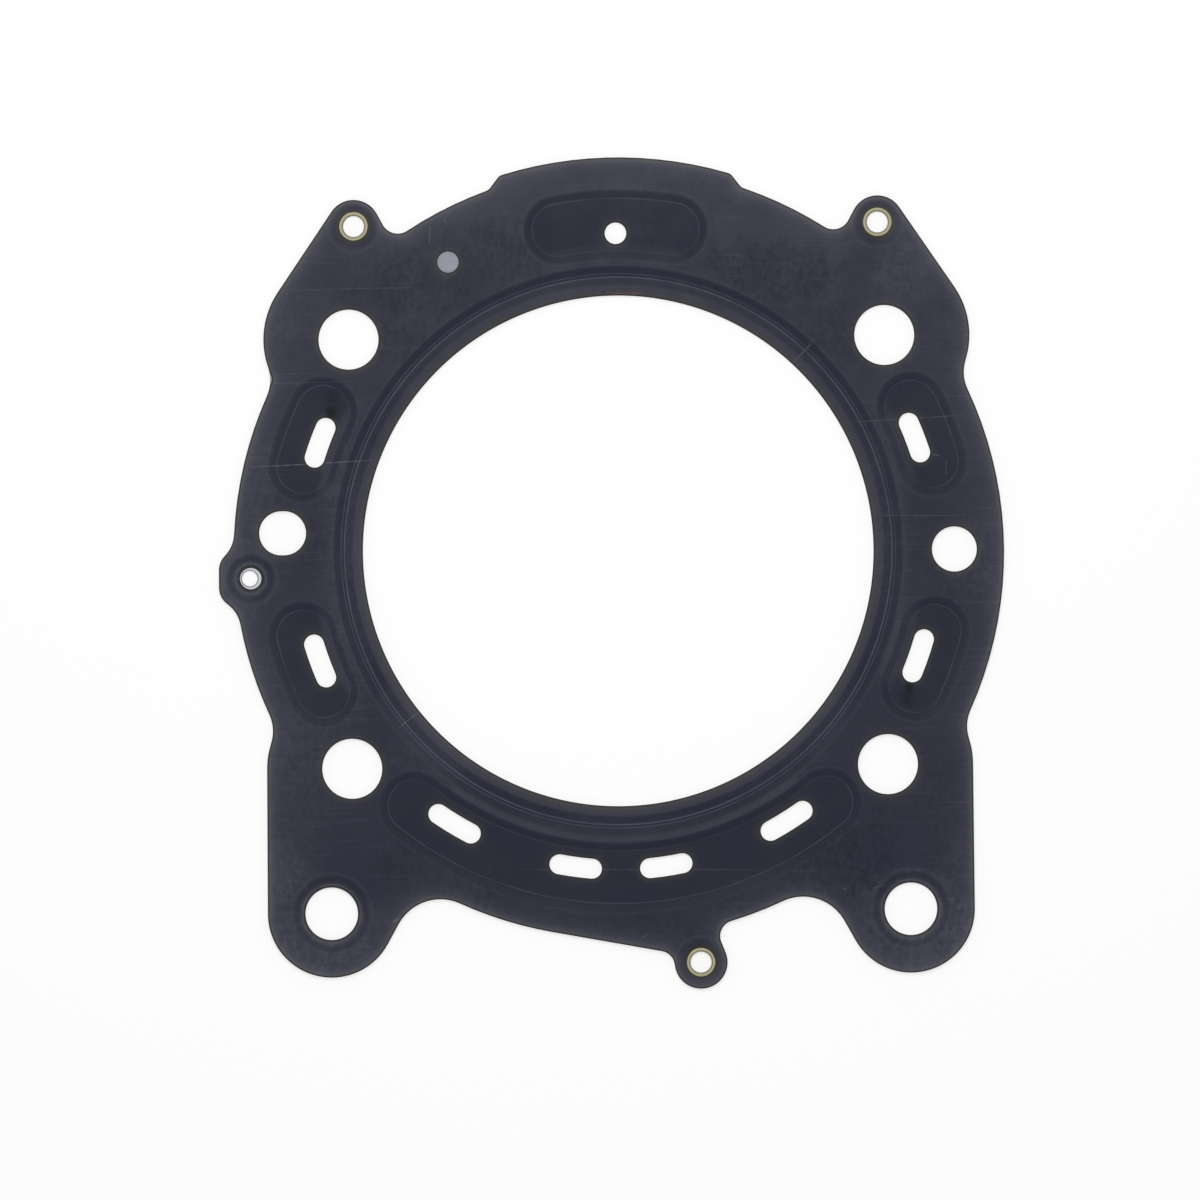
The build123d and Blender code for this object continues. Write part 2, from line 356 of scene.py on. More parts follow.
def inside(points, loops):
    """Whether each point lies in the sheet: within the outline and in none of the holes."""
    starts = np.concatenate(loops)
    ends = np.concatenate([np.roll(loop, -1, 0) for loop in loops])
    rise = np.where(ends[:, 1] == starts[:, 1], 1, ends[:, 1] - starts[:, 1])
    result = np.zeros(len(points), bool)
    for first in range(0, len(points), points_at_once):
        some = slice(first, first + points_at_once)
        x, y = points[some, 0, None], points[some, 1, None]
        astride = (starts[:, 1] > y) != (ends[:, 1] > y)
        crossing = starts[:, 0] + (y - starts[:, 1]) * (ends[:, 0] - starts[:, 0]) / rise
        result[some] = (astride & (x < crossing)).sum(1) % 2 == 1
    return result


def arc_points(radius, start, end, spacing, centre=(0, 0)):
    """Points along an arc, from one angle to another in degrees."""
    count = max(2, math.ceil(math.radians(end - start) * radius / spacing) + 1)
    turn = np.radians(np.linspace(start, end, count))
    return np.column_stack((centre[0] + radius * np.cos(turn), centre[1] + radius * np.sin(turn)))


def press_lines():
    """Points along the creases and slopes of the press work, so that the blank bends cleanly."""
    lines = []
    for reach in line_reaches:
        for side in (-1, 1):
            radius = crest_radius + side * (crest_width / 2 + reach)
            lines.append(arc_points(radius, 0, crest_sweep, press_spacing))
        for middle, half_sweep in coolant_floors:
            width = floor_width / 2 + reach
            first, last = middle - half_sweep, middle + half_sweep
            lines.append(arc_points(floor_pitch_radius + width, first, last, press_spacing))
            lines.append(arc_points(floor_pitch_radius - width, first, last, press_spacing))
            for end, start_angle in ((first, first - 180), (last, last)):
                tip = arc_points(floor_pitch_radius, end, end, end_spacing)[0]
                lines.append(arc_points(width, start_angle, start_angle + 180, end_spacing, tip))
        for (x, y), radius in dimples:
            if reach < slope_width + dimple_margin:
                middle = (x * MM, y * MM)
                lines.append(arc_points(radius * MM + reach, 0, dimple_sweep, dimple_spacing, middle))
    return np.concatenate(lines)


def closed_edges(first, count):
    """Edges that join points in a closed loop, by their numbers."""
    return [(first + at, first + (at + 1) % count) for at in range(count)]


def cut_blank(name, node_name):
    """A flat sheet with the outline and the holes of the solid, its points laid along the press lines."""
    loops = [round_out(loop, rim_spacing) for loop in rim_loops(node_name)]
    edge_rings = []
    for loop in loops:
        onward = np.roll(loop, -1, 0) - np.roll(loop, 1, 0)
        across = np.column_stack((onward[:, 1], -onward[:, 0])) / np.hypot(*onward.T)[:, None]
        edge_rings += [loop + across * side * depth for depth in rim_depths for side in (-1, 1)]
    rows = np.arange(-grid_reach, grid_reach, row_pitch) * MM
    columns = np.arange(-grid_reach, grid_reach, column_pitch) * MM
    grid = np.array([
        (x + (row % 2) * column_pitch / 2 * MM, y) for row, y in enumerate(rows) for x in columns
    ])
    families = ((np.concatenate(edge_rings), rim_room), (press_lines(), press_room), (grid, grid_room))
    kept = [tuple(point) for point in np.concatenate(loops)]
    for family, room in families:
        family = family[inside(family, loops)]
        tree = kdtree.KDTree(len(kept))
        for index, point in enumerate(kept):
            tree.insert((*point, 0), index)
        tree.balance()
        cells = set()
        for point in family:
            cell = tuple(np.floor(point / room).astype(int))
            if cell not in cells and tree.find((*point, 0))[2] > room:
                cells.add(cell)
                kept.append(tuple(point))
    edges = []
    for loop in loops:
        edges += closed_edges(len(edges), len(loop))
    enlarged = [Vector(point) / MM for point in kept]
    points, _, triangles, *_ = delaunay_2d_cdt(enlarged, edges, [], 0, same_point)
    plan = np.array([point[:] for point in points]) * MM
    corners = np.array(triangles)
    in_sheet = inside(plan[corners].mean(1), loops)
    mesh = new_mesh(name + "_blank", [(x, y, 0) for x, y in plan], [], corners[in_sheet].tolist())
    mesh.update()
    if mesh.polygons[0].normal.z < 0:
        mesh.flip_normals()
    outline = max(loops, key=lambda loop: np.ptp(loop[:, 0]))
    return mesh, outline


# ---------------------------------------------------------------- the press work
def press_tools(outline):
    """Objects to measure from: lines of the coolant floors, middles of the round dimples and the outline."""
    points, edges = [], []
    for middle, half_sweep in coolant_floors:
        line = arc_points(floor_pitch_radius, middle - half_sweep, middle + half_sweep, spine_spacing)
        edges += [(len(points) + at, len(points) + at + 1) for at in range(len(line) - 1)]
        points += [(x, y, 0) for x, y in line]
    spines = new_mesh("floor_spines", points, edges)
    middles = new_mesh("dimple_middles", [(x * MM, y * MM, 0) for (x, y), _ in dimples])
    sizes = middles.attributes.new("floor_radius", "FLOAT", "POINT")
    sizes.data.foreach_set("value", [radius * MM for _, radius in dimples])
    edge = new_mesh("outline_line", [(x, y, 0) for x, y in outline], closed_edges(0, len(outline)))
    return [new_object(mesh.name, mesh) for mesh in (spines, middles, edge)]


def press_tree():
    """Presses beads, coolant floors and dimples into a flat blank and gives it its thickness."""
    number, thing = "NodeSocketFloat", "NodeSocketObject"
    tree, given, result = new_group("GeometryNodeTree", "press coated sheet", (
        ("Blank", "NodeSocketGeometry", None),
        ("Floor Spines", thing, None),
        ("Dimple Middles", thing, None),
        ("Outline", thing, None),
        ("Bead Height", number, bead_height),
        ("Slope Width", number, slope_width),
        ("Floor Width", number, floor_width),
        ("Crest Radius", number, crest_radius),
        ("Crest Width", number, crest_width),
        ("Sheet Thickness", number, sheet_thickness),
        ("Stack Height", number, stack_height),
        ("Edge Roll", number, edge_roll),
        ("Roll Width", number, roll_width),
        ("Face Down", "NodeSocketBool", False),
        ("Finish", "NodeSocketMaterial", None),
    ), (("Sheet", "NodeSocketGeometry"),))

    def nearest(target, element):
        """The distance to the nearest edge or point of the target."""
        return part(tree, "GeometryNodeProximity", {0: target}, target_element=element).outputs["Distance"]

    def kept_value(name):
        """A named value of the geometry."""
        return step(tree, "GeometryNodeInputNamedAttribute", {"Name": name}, data_type="FLOAT")

    def upward(height):
        """A vector straight up, of this length."""
        return step(tree, "ShaderNodeCombineXYZ", {2: height})

    # Distances of each point from the flat floors and the crest, less than 0 on them
    half_floor = maths(tree, "DIVIDE", given["Floor Width"], 2.0)
    floor_reach = minus(tree, nearest(object_shape(tree, given["Floor Spines"]), "EDGES"), half_floor)
    middles = object_shape(tree, given["Dimple Middles"])
    radius = step(tree, "GeometryNodeSampleIndex", {
        "Geometry": middles,
        "Value": kept_value("floor_radius"),
        "Index": step(tree, "GeometryNodeSampleNearest", {0: middles}, domain="POINT"),
    }, data_type="FLOAT", domain="POINT")
    dimple_reach = minus(tree, nearest(middles, "POINTS"), radius)
    from_axis = size_of(tree, step(tree, "GeometryNodeInputPosition"))
    from_crest = maths(tree, "ABSOLUTE", minus(tree, from_axis, given["Crest Radius"]))
    bead_reach = minus(tree, from_crest, maths(tree, "DIVIDE", given["Crest Width"], 2.0))
    reach = maths(tree, "MINIMUM", maths(tree, "MINIMUM", floor_reach, dimple_reach), bead_reach)
    pressed = fall(tree, reach, 0.0, given["Slope Width"])

    # An edge with one face beside it lies on a rim
    at_rim = maths(tree, "COMPARE", step(tree, "GeometryNodeInputMeshEdgeNeighbors"), 1.0, 0.1)
    rim = step(tree, "GeometryNodeSeparateGeometry", {"Geometry": given["Blank"], "Selection": at_rim},
               domain="EDGE")

    # The finish reads these distances
    sheet = given["Blank"]
    for name, value in (
        ("floor_reach", floor_reach),
        ("dimple_reach", dimple_reach),
        ("dimple_radius", radius),
        ("edge_reach", nearest(rim, "EDGES")),
        ("outline_reach", nearest(object_shape(tree, given["Outline"]), "EDGES")),
    ):
        sheet = stored(tree, sheet, name, value)

    # Sunk work, thickness and rolled cut edges
    underside = minus(tree, given["Stack Height"], given["Sheet Thickness"])
    sink = times(tree, pressed, given["Bead Height"])
    lift = upward(minus(tree, underside, sink))
    formed = step(tree, "GeometryNodeSetPosition", {"Geometry": sheet, "Offset": lift})
    thick = part(tree, "GeometryNodeExtrudeMesh", {
        "Mesh": formed,
        "Offset": upward(given["Sheet Thickness"]),
        "Offset Scale": 1.0,
        "Individual": False,
    }, mode="FACES").outputs
    roll = ramp(tree, kept_value("edge_reach"), 0.0, given["Roll Width"], 1.0, 0.0, "SMOOTHERSTEP")
    drop = upward(times(tree, times(tree, roll, given["Edge Roll"]), -1.0))
    rolled = step(tree, "GeometryNodeSetPosition", {
        "Geometry": thick["Mesh"], "Selection": thick["Top"], "Offset": drop,
    })
    upper = stored(tree, rolled, "cut_wall", thick["Side"], "FACE")

    # Joined with its underside, and smooth but for the cut walls
    joined = part(tree, "GeometryNodeJoinGeometry")
    for half in (step(tree, "GeometryNodeFlipFaces", {0: formed}), upper):
        tree.links.new(half, joined.inputs[0])
    welded = step(tree, "GeometryNodeMergeByDistance", {
        "Geometry": joined.outputs[0], "Distance": sheet_weld,
    })
    soft = step(tree, "GeometryNodeSetShadeSmooth", {
        "Geometry": welded, "Shade Smooth": maths(tree, "LESS_THAN", kept_value("cut_wall"), 0.5),
    }, domain="FACE")

    # Turned over for the lower sheet
    turned = step(tree, "GeometryNodeTransform", {
        "Geometry": soft, "Scale": (1, 1, -1), "Translation": upward(given["Stack Height"]),
    })
    outward = step(tree, "GeometryNodeFlipFaces", {0: turned})
    either = step(tree, "GeometryNodeSwitch", {0: given["Face Down"], 1: soft, 2: outward},
                  input_type="GEOMETRY")
    return end_tree(tree, either, given["Finish"], result)


# ---------------------------------------------------------------- eyelets
def eyelet_section():
    """The closed section of a rolled eyelet: distance outward from its bore across, and height."""
    def turn(across, up, radius, start):
        """A quarter round about a middle, from a start angle in degrees."""
        angles = [math.radians(start + at * 90 / quarter_steps) for at in range(quarter_steps + 1)]
        return [(across + radius * math.cos(angle), up + radius * math.sin(angle)) for angle in angles]

    mouth, rim = eyelet_mouth_round, eyelet_rim_round
    under_lip = stack_height - eyelet_lip
    half = [(eyelet_barrel, under_lip), (eyelet_flange - rim / 4, under_lip)]
    half += turn(eyelet_flange - rim, stack_height - rim, rim, 0)
    half += turn(eyelet_bore + mouth, stack_height - mouth, mouth, 90)
    other = [(across, stack_height - up) for across, up in reversed(half)]
    section = bpy.data.curves.new("eyelet_section", "CURVE")
    line = section.splines.new("POLY")
    line.points.add(len(half + other) - 1)
    for point, (across, up) in zip(line.points, half + other):
        point.co = (across - eyelet_bore, up - stack_height, 0, 1)
    line.use_cyclic_u = True
    return new_object("eyelet_section", section)


def eyelet_tree():
    """Sweeps the section round the bore of an eyelet, with a flange that is a little uneven."""
    number = "NodeSocketFloat"
    tree, given, result = new_group("GeometryNodeTree", "roll eyelet", (
        ("Blank", "NodeSocketGeometry", None),
        ("Section", "NodeSocketObject", None),
        ("Middle", "NodeSocketVector", None),
        ("Steps Round", "NodeSocketInt", eyelet_steps),
        ("Bore Radius", number, eyelet_bore),
        ("Flange Width", number, eyelet_flange - eyelet_bore),
        ("Unevenness", number, eyelet_unevenness),
        ("Seed", number, 0.0),
        ("Finish", "NodeSocketMaterial", None),
    ), (("Eyelet", "NodeSocketGeometry"),))
    path = step(tree, "GeometryNodeCurvePrimitiveCircle", {
        "Resolution": given["Steps Round"], "Radius": given["Bore Radius"],
    }, mode="RADIUS")
    swept = step(tree, "GeometryNodeCurveToMesh", {
        "Curve": path, "Profile Curve": object_shape(tree, given["Section"]),
    })

    # The flange is drawn in where the wave is low, most of all at its rim
    flat = in_plan(tree, step(tree, "GeometryNodeInputPosition"))
    outward = vector_maths(tree, "NORMALIZE", flat)
    beyond = minus(tree, size_of(tree, flat), given["Bore Radius"])
    share = maths(tree, "DIVIDE", beyond, given["Flange Width"])
    swing = minus(tree, cloudy(tree, outward, wave_scale, seed=given["Seed"]), full_level)
    push = times(tree, times(tree, swing, given["Unevenness"]), share)
    moved = scaled(tree, outward, maths(tree, "MINIMUM", push, 0.0))
    formed = step(tree, "GeometryNodeSetPosition", {
        "Geometry": stored(tree, swept, "flange_reach", beyond), "Offset": moved,
    })
    soft = step(tree, "GeometryNodeSetShadeSmooth", {"Geometry": formed}, domain="FACE")
    placed = step(tree, "GeometryNodeTransform", {"Geometry": soft, "Translation": given["Middle"]})
    return end_tree(tree, placed, given["Finish"], result)


# ---------------------------------------------------------------- surface effects
def srgb(red, green, blue):
    """A colour from its screen values out of 255."""
    values = [value / 255 for value in (red, green, blue)]
    return tuple(v / 12.92 if v <= 0.04045 else ((v + 0.055) / 1.055) ** 2.4 for v in values) + (1.0,)


def new_effect(name, output, **inputs):
    """An empty shader group with one output; an input without a number is a place."""
    sockets = [
        (label.replace("_", " "), "NodeSocketVector" if value is None else "NodeSocketFloat", value)
        for label, value in inputs.items()
    ]
    return new_group("ShaderNodeTree", name, sockets, ((output, "NodeSocketFloat"),))


def band_group():
    """A soft-edged band of a distance."""
    tree, given, result = new_effect(
        "band of a distance", "Mask", Distance=0.0, From=0.0, To=1.0, Softness=0.1)
    limits = [
        maths(tree, operation, given[end], given["Softness"])
        for end in ("From", "To") for operation in ("SUBTRACT", "ADD")
    ]
    begun, ended = ramp(tree, given["Distance"], *limits[:2]), fall(tree, given["Distance"], *limits[2:])
    tree.links.new(times(tree, begun, ended), result.inputs[0])
    return tree


def streak_group():
    """Fine lines left in one direction by the rolls, from 0 to 1 about 0.5."""
    tree, given, result = new_effect(
        "rolling lines", "Streaks", Place=None, Length=20.0, Spacing=0.4, Seed=0.0)
    size = step(tree, "ShaderNodeCombineXYZ", {0: given["Length"], 1: given["Spacing"], 2: given["Length"]})
    stretched = vector_maths(tree, "DIVIDE", given["Place"], size)
    tree.links.new(cloudy(tree, stretched, 1.0, 3.0, given["Seed"]), result.inputs[0])
    return tree


def scuff_group():
    """A thin scratch between two places, fainter towards its ends and broken up along its way."""
    tree, given, result = new_effect("scratch", "Mask", Place=None, Start=None, End=None, Width=0.15)
    from_start = vector_maths(tree, "SUBTRACT", given["Place"], given["Start"])
    way = vector_maths(tree, "SUBTRACT", given["End"], given["Start"])
    along = vector_maths(tree, "DOT_PRODUCT", from_start, way, output=1)
    size = vector_maths(tree, "DOT_PRODUCT", way, way, output=1)
    share = step(tree, "ShaderNodeClamp", {0: maths(tree, "DIVIDE", along, size)})
    off = apart(tree, from_start, scaled(tree, way, share))
    line = fall(tree, off, 0.0, given["Width"])
    off_middle = maths(tree, "ABSOLUTE", minus(tree, share, 0.5))
    faint = ramp(tree, off_middle, 0.3, 0.5, 1.0, 0.25)
    broken = ramp(tree, cloudy(tree, given["Place"], 0.9), 0.3, 0.6, 0.35, 1.0)
    tree.links.new(times(tree, times(tree, line, faint), broken), result.inputs[0])
    return tree


def blotch_group():
    """Cloudy patches, from 0 to 1."""
    tree, given, result = new_effect(
        "cloudy patches", "Mask", Place=None, Size=10.0, Low=0.35, High=0.65, Seed=0.0)
    scale = maths(tree, "DIVIDE", 1.0, given["Size"])
    clouds = cloudy(tree, given["Place"], scale, 4.0, given["Seed"])
    tree.links.new(ramp(tree, clouds, given["Low"], given["High"]), result.inputs[0])
    return tree


def patch_group():
    """A soft ragged patch about a place, from 1 in its middle to 0 at its rim."""
    tree, given, result = new_effect(
        "ragged patch", "Mask", Place=None, Middle=None, Half_Size=None, Grain=3.0, Raggedness=0.6, Core=0.3)
    away = vector_maths(tree, "SUBTRACT", given["Place"], given["Middle"])
    away = size_of(tree, vector_maths(tree, "DIVIDE", away, given["Half Size"]))
    grain = cloudy(tree, given["Place"], maths(tree, "DIVIDE", 1.0, given["Grain"]), 3.0)
    swing = times(tree, minus(tree, grain, 0.5), given["Raggedness"])
    away = plus(tree, away, times(tree, swing, 2.0))
    tree.links.new(fall(tree, away, given["Core"], 1.0), result.inputs[0])
    return tree


band, streaks, scuff, blotch, patch = (
    band_group(), streak_group(), scuff_group(), blotch_group(), patch_group()
)


def use(tree, group, **values):
    """Places an effect with these inputs and returns its output."""
    inputs = {name.replace("_", " "): value for name, value in values.items()}
    return step(tree, "ShaderNodeGroup", inputs, node_tree=group)


def on_band(tree, distance, limits):
    """Where a distance lies in a band, given as from, to and softness."""
    start, end, softness = limits
    return use(tree, band, Distance=distance, From=start, To=end, Softness=softness)


def patches(tree, place, listed):
    """The mask of several ragged patches, the strongest at each place."""
    return most(tree, *(
        times(tree, use(
            tree, patch, Place=place, Middle=(*middle, 0), Half_Size=(*half_size, 1), Grain=grain,
            Raggedness=ragged, Core=core,
        ), amount)
        for middle, half_size, grain, ragged, core, amount in listed
    ))


def tint(tree, mask, below, over, amount=None, mode="MIX"):
    """Lays a colour over another where the mask is 1, or at part of its strength."""
    if amount is not None:
        mask = times(tree, mask, amount)
    return part(tree, "ShaderNodeMix", {0: mask, 6: below, 7: over}, data_type="RGBA",
                blend_type=mode).outputs[2]


def reading(tree, name):
    """A named distance of the piece, in millimetres."""
    kept = part(tree, "ShaderNodeAttribute", attribute_name=name).outputs["Fac"]
    return times(tree, kept, 1 / MM)


def new_finish(name):
    """An empty material: its tree, its Principled BSDF and the place on the piece in millimetres."""
    finish = bpy.data.materials.new(name)
    finish.use_nodes = True
    tree = finish.node_tree
    place = part(tree, "ShaderNodeTexCoord").outputs["Object"]
    return finish, tree, tree.nodes["Principled BSDF"], vector_maths(tree, "MULTIPLY", place, (1 / MM,) * 3)


def grain_bump(tree, height):
    """The normal of a skin roughened by a height map."""
    return step(tree, "ShaderNodeBump", {
        "Strength": bump_strength, "Distance": bump_height, "Height": height,
    })


# ---------------------------------------------------------------- marks and finishes, in millimetres
# Scratches: start, end, width and strength
scratches = (
    ((-73.4, 17.3), (-47.9, 18.6), 0.16, 0.75),
    ((46.7, 25.3), (69.1, 26.5), 0.14, 0.4),
    ((-66.1, 52.7), (-39.1, 53), 0.14, 0.3),
    ((50.5, 6.6), (69.5, 6.5), 0.14, 0.3),
    ((-20.1, -63.5), (27.9, -64), 0.14, 0.32),
    ((-72.2, 34), (-52.5, 34.3), 0.12, 0.3),
    ((-71.5, 35.7), (-59, 36.1), 0.12, 0.22),
    ((-37, 65.4), (-37.2, 61.6), 0.14, 0.6),
    ((-34.2, 66.6), (-34, 65.8), 0.16, 0.5),
    ((35.2, 37.2), (39.2, 41.4), 0.13, 0.6),
    ((-40.1, -31.8), (-44.2, -35), 0.13, 0.8),
    ((63, 18.7), (64.6, 18.5), 0.16, 0.55),
    ((65.7, 17.6), (65.6, 14.4), 0.16, 0.35),
    ((50.3, -67.8), (52.7, -67.2), 0.2, 0.5),
    ((44.3, -67.9), (45.1, -67.9), 0.2, 0.4),
    ((-45.8, -73.9), (-44.5, -73.1), 0.3, 0.7),
    ((3.8, -77.6), (5.4, -76.4), 0.16, 0.4),
)
# Ragged patches: middle, half size, grain, raggedness, core and strength
dark_spots = (
    ((-57.1, 28.1), (1.9, 2), 1.5, 0.3, 0.15, 0.9),
    ((57.9, -27.9), (1.3, 2), 1.5, 0.3, 0.15, 0.92),
    ((-56.8, 30.6), (2.7, 4.2), 2, 0.4, 0, 0.42),
    ((57.4, -29.8), (2.2, 2.8), 2, 0.4, 0, 0.5),
    ((-2.6, 51.7), (0.7, 0.7), 1, 0.3, 0.2, 0.6),
)
dull_patches = (
    ((-39, 54), (16, 10), 3, 0.7, 0.45, 0.98),
    ((-24, 60), (14, 9), 3, 0.7, 0.45, 0.92),
    ((-43, 43), (9, 8), 3, 0.7, 0.4, 0.85),
    ((30, 54.5), (20, 9.5), 3, 0.7, 0.45, 0.98),
    ((43, 43), (9, 9), 3, 0.7, 0.4, 0.8),
    ((42, -64), (15, 12), 4, 0.6, 0.45, 0.8),
    ((24, -72), (11, 5), 3, 0.6, 0.4, 0.5),
    ((-30, -69), (13, 8), 3, 0.6, 0.4, 0.74),
    ((52, -56.5), (6, 6), 3, 0.5, 0.3, 0.52),
    ((-44, -64), (10, 7), 4, 0.6, 0.2, 0.5),
    ((-3, -74.5), (34, 4.5), 4, 0.6, 0.2, 0.5),
    ((-60.5, 4), (5, 10), 4, 0.6, 0.2, 0.55),
)
pale_patches = (
    ((-64, -40), (9, 30), 5, 0.4, 0.2, 0.26),
    ((-60, -77), (16, 14), 5, 0.4, 0.3, 0.6),
    ((61, -76), (18, 15), 5, 0.4, 0.3, 0.63),
    ((-68, -65), (10, 13), 5, 0.4, 0.2, 0.46),
    ((68, -64), (7, 12), 5, 0.4, 0.2, 0.16),
    ((4, 67), (22, 12), 5, 0.5, 0.1, 0.3),
    ((57, 54), (8, 13), 4, 0.5, 0.2, 0.34),
    ((-36, -42), (18, 12), 4, 0.5, 0.1, 0.22),
    ((31, -44), (16, 10), 4, 0.5, 0.1, 0.18),
    ((-54, -4), (7, 40), 4, 0.5, 0.3, 0.32),
    ((54, 4), (6, 34), 4, 0.5, 0.2, 0.3),
    ((-66, 48), (6, 14), 4, 0.5, 0.1, 0.2),
    ((-73.5, -4), (9, 14), 4, 0.5, 0.3, 0.28),
    ((73, -2), (9, 15), 4, 0.5, 0.1, 0.27),
    ((-71.5, 13), (6, 17), 4, 0.5, 0.2, 0.25),
    ((-70, -22), (6, 12), 4, 0.5, 0.2, 0.2),
)
# Painted sheen on the lower bead, the lands beside it and the inner sides of the floors
bead_sheen = (
    ((-40, -37), (16, 16), 4, 0.4, 0.2, 0.24),
    ((41, -35), (14, 14), 4, 0.4, 0.2, 0.17),
    ((0, -55), (22, 6), 4, 0.4, 0.3, 0.12),
)
land_sheen = (
    ((0, -62), (52, 22), 4, 0.1, 0.9, 0.34),
    ((55, -19), (5, 10), 4, 0.3, 0.4, 0.3),
)
floor_sheen = (
    ((-57, 20.5), (7, 12), 3, 0.2, 0.6, 0.3),
    ((-57, -20.5), (7, 12), 3, 0.2, 0.6, 0.28),
    ((57, 20.5), (7, 12), 3, 0.2, 0.6, 0.18),
    ((57, -20.5), (7, 12), 3, 0.2, 0.6, 0.2),
    ((0, 59), (15, 4), 3, 0.2, 0.7, 0.14),
)
rust_marks = (
    ((0.9, 51.4), (2.6, 0.36), 1, 0.5, 0.2, 0.42),
    ((3.7, 51.4), (2.4, 0.36), 1, 0.5, 0.2, 0.34),
)

# Bands of the distance from a flat floor, a crest, the orifice or an eyelet's bore: from, to and softness
floor_foot, bead_foot = (0.25, 0.5, 0.12), (0.15, 0.35, 0.12)
floor_shoulder, bead_shoulder, dimple_shoulder = (1.9, 2.1, 0.25), (1.55, 1.85, 0.28), (1.9, 2.5, 0.3)
floor_crease, dimple_crease = (-0.12, 0.08, 0.13), (-0.14, 0.1, 0.14)
inner_crease, outer_crease = (-0.38, -0.24, 0.13), (0.3, 0.42, 0.12)
dimple_slope = (0.55, 1.62, 0.3)
narrow_land, inner_floor = (2.25, 3.3, 0.25), (3.6, 6.3, 0.5)
eyelet_shadow_band = (-0.3, 0.32, 0.16)
orifice_rim = (1.58, 1.74, 0.06)
mouth_groove = (0.14, 0.3, 0.07)

# Spans of the distance from a flat floor, a crest, a cut edge, the axis or the orifice, where a look fades
bead_slope, bead_side, floor_slope, floor_side = (1, 1.7), (1.4, 2.2), (1.15, 2), (1.2, 1.9)
inner_crest, outer_crest, floor_start = (-0.5, -0.2), (0, 0.5), (4.2, 5)
lip_border, cut_border = (-2.2, -1.8), (0.18, 0.45)
crease_shift, crease_fade = (64, 66), (63, 67)
orifice_shadow_span, steel_gap = (2.35, 2.85), (2.2, 2.6)

# Radii between that of an eyelet's dimple and those of the others
dimple_sizes = (3.03, 3.08)

# Spans across and along the gasket over which its look changes from side to side
left_ear, right_ear = (-62, -42), (54, 64)
left_side, left_slope = (-50, -35), (-48, -40)
lower_half, lip_span, brass_span = (-40, 0), (-36, 50), (-40, 40)

# Fine grain of a surface: its height in metres and its strength
bump_height, bump_strength = 0.004 * MM, 0.3

# Colours of the coating, its marks and its edges, and the painted shade and highlights at its slopes,
# creases and edges
coating_blue = srgb(34, 36, 52)
coating_purple = srgb(42, 42, 57)
# Dark coating, also the painted shade of the pressed floors and slopes
coating_dark_and_shade = srgb(29, 32, 46)
dull_black = srgb(17, 21, 37)
# Pale patches, also the painted sheen on the lower relief
pale_tone_and_sheen = srgb(66, 67, 80)
line_light = srgb(66, 66, 81)
lip_light = srgb(60, 59, 70)
# Painted shade at the foot of the slopes
slope_foot_shade = srgb(23, 25, 38)
# Painted highlight on the shoulders, partly burnish
shoulder_highlight_and_burnish = srgb(62, 63, 77)
# Painted highlight along the creases
crease_highlight = srgb(82, 83, 99)
scratch_light = srgb(104, 101, 112)
# Black of the dark spots, also the painted shadow round the orifice
spot_and_shadow_black = srgb(9, 11, 14)
# Painted contact shadow round the eyelets
olive_contact_shadow = srgb(30, 28, 14)
rust_pink = srgb(108, 64, 70)
# Painted highlights along the cut edges and the outline
edge_highlight = (0.036, 0.031, 0.008, 1)
outline_highlight = (0.037, 0.039, 0.045, 1)
outline_broad_light = (0.017, 0.017, 0.019, 1)
# Painted shade at the rim of the cut edges
cut_rim_shade = srgb(35, 36, 40)
cut_steel = srgb(70, 70, 68)

# Colours of the bare steel and of the eyelets, with painted shade at the orifice ring's rim and in the
# eyelets' mouths
steel_dark, steel_light = srgb(92, 94, 102), srgb(114, 117, 127)
steel_spot = srgb(96, 98, 107)
# A bright ring round the orifice, and the painted shade at its inner rim
orifice_bright, orifice_rim_shade = srgb(166, 167, 173), srgb(58, 58, 64)
brass_dark, brass_light = srgb(134, 131, 102), srgb(157, 154, 128)
# Brown of the upper eyelets, which also paints shade on leaning faces and in the mouth's groove
brown_brass_and_shade, groove_shade_brown = srgb(90, 84, 60), srgb(88, 78, 50)


# ---------------------------------------------------------------- finishes
def gauge(tree, place):
    """Where a spot of a coated sheet lies in plan, and how far it is from the press work and the edges."""
    at = SimpleNamespace(place=place, flat=in_plan(tree, place))
    at.floor, at.dimple, at.edge, at.outline = (
        reading(tree, each) for each in ("floor_reach", "dimple_reach", "edge_reach", "outline_reach")
    )
    at.axis = size_of(tree, at.flat)
    at.crest = minus(tree, at.axis, crest_radius / MM)
    at.bead = minus(tree, maths(tree, "ABSOLUTE", at.crest), crest_width / MM / 2)
    at.across, at.along, _ = part(tree, "ShaderNodeSeparateXYZ", {0: place}).outputs
    at.wide_dimple = ramp(tree, reading(tree, "dimple_radius"), *dimple_sizes, 0.25, 1.0)
    return at


def plain_coating(tree, at, seed, fine):
    """Purplish grey and blue clouds, with a fine mottle."""
    clouds = use(tree, blotch, Place=at.place, Size=16.0, Low=0.3, High=0.7, Seed=seed)
    colour = tint(tree, clouds, coating_blue, coating_purple)
    region = use(tree, blotch, Place=at.place, Size=20.0, Low=0.44, High=0.6, Seed=9.0 + seed)
    mottled = shift(tree, region, 0.4, ramp(tree, at.across, *right_ear, 0.22, 0.42))
    return tint(tree, times(tree, fine, mottled), colour, coating_dark_and_shade)


def handled(tree, at, fine, colour):
    """Dull black and pale patches on the upper sheet."""
    dull = times(tree, patches(tree, at.flat, dull_patches), shift(tree, fine, 0.8, 0.2))
    colour = tint(tree, dull, colour, dull_black)
    pale = times(tree, patches(tree, at.flat, pale_patches), shift(tree, fine, -0.8, 1.4))
    return tint(tree, pale, colour, pale_tone_and_sheen)


